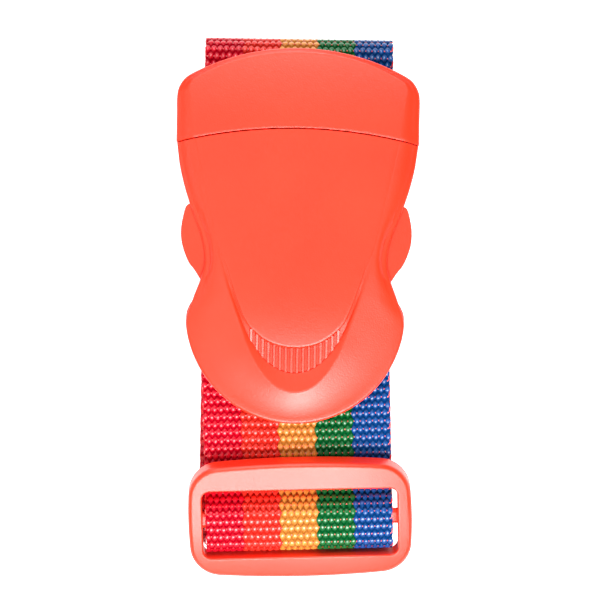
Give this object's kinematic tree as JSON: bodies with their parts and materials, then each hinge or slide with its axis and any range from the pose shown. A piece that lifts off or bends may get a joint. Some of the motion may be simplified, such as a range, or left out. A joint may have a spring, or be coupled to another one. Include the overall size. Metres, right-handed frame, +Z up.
{
  "type": "luggage strap",
  "caption": "Folded luggage strap: wide webbing in coloured bands with a capped side-release buckle and a three-bar slider that sets its length.",
  "frame": {"origin": "centre of the bundle's footprint, on the surface that it lies on", "axes": "+Y along the strap towards the male half's cap, +X to the right seen from the front, +Z up out of the buckle's front"},
  "size_m": [0.0642, 0.1436, 0.0344],
  "materials": {
    "coral_plastic": "satin, fine grain",
    "red_yarn": "woven multifilament",
    "orange_yarn": "woven multifilament",
    "yellow_yarn": "woven multifilament",
    "green_yarn": "woven multifilament",
    "blue_yarn": "woven multifilament",
    "coral_thread": "spun thread"
  },
  "bodies": {
    "female_half": {"female_front_shell": "coral_plastic", "female_rear_shell": "coral_plastic", "webbing_stack_red": "red_yarn", "webbing_stack_orange": "orange_yarn", "webbing_stack_yellow": "yellow_yarn", "webbing_stack_green": "green_yarn", "webbing_stack_blue": "blue_yarn", "webbing_adjusting_loop_red": "red_yarn", "webbing_adjusting_loop_orange": "orange_yarn", "webbing_adjusting_loop_yellow": "yellow_yarn", "webbing_adjusting_loop_green": "green_yarn", "webbing_adjusting_loop_blue": "blue_yarn"},
    "male_half": {"male_cap": "coral_plastic", "male_frame": "coral_plastic", "webbing_male_end_red": "red_yarn", "webbing_male_end_orange": "orange_yarn", "webbing_male_end_yellow": "yellow_yarn", "webbing_male_end_green": "green_yarn", "webbing_male_end_blue": "blue_yarn", "male_end_stitches": "coral_thread"},
    "latch_arm_left": {"latch_arm_left": "coral_plastic"},
    "latch_arm_right": {"latch_arm_right": "coral_plastic"},
    "slider": {"slider_frame": "coral_plastic", "webbing_slider_end_red": "red_yarn", "webbing_slider_end_orange": "orange_yarn", "webbing_slider_end_yellow": "yellow_yarn", "webbing_slider_end_green": "green_yarn", "webbing_slider_end_blue": "blue_yarn", "slider_end_stitches": "coral_thread"}
  },
  "joints": [
    {"name": "male_release", "type": "slide", "parent": "female_half", "child": "male_half", "axis": [0, 1, 0], "range_m": [0, 0.045], "deforming": ["latch_arm_left", "latch_arm_right"]},
    {"name": "latch_left", "type": "hinge", "parent": "male_half", "child": "latch_arm_left", "pos_m": [-0.0195, 0.043, 0.02665], "axis": [0, 0, 1], "range_deg": [0, 10], "stiffness_Nm_per_rad": 0.6},
    {"name": "latch_right", "type": "hinge", "parent": "male_half", "child": "latch_arm_right", "pos_m": [0.0195, 0.043, 0.02665], "axis": [0, 0, -1], "range_deg": [0, 10], "stiffness_Nm_per_rad": 0.6},
    {"name": "slider_adjust", "type": "slide", "parent": "female_half", "child": "slider", "axis": [-0.0384, 0.9993, 0], "range_m": [-0.008, 0], "deforming": ["webbing_adjusting_loop_red", "webbing_adjusting_loop_orange", "webbing_adjusting_loop_yellow", "webbing_adjusting_loop_green", "webbing_adjusting_loop_blue"]}
  ]
}
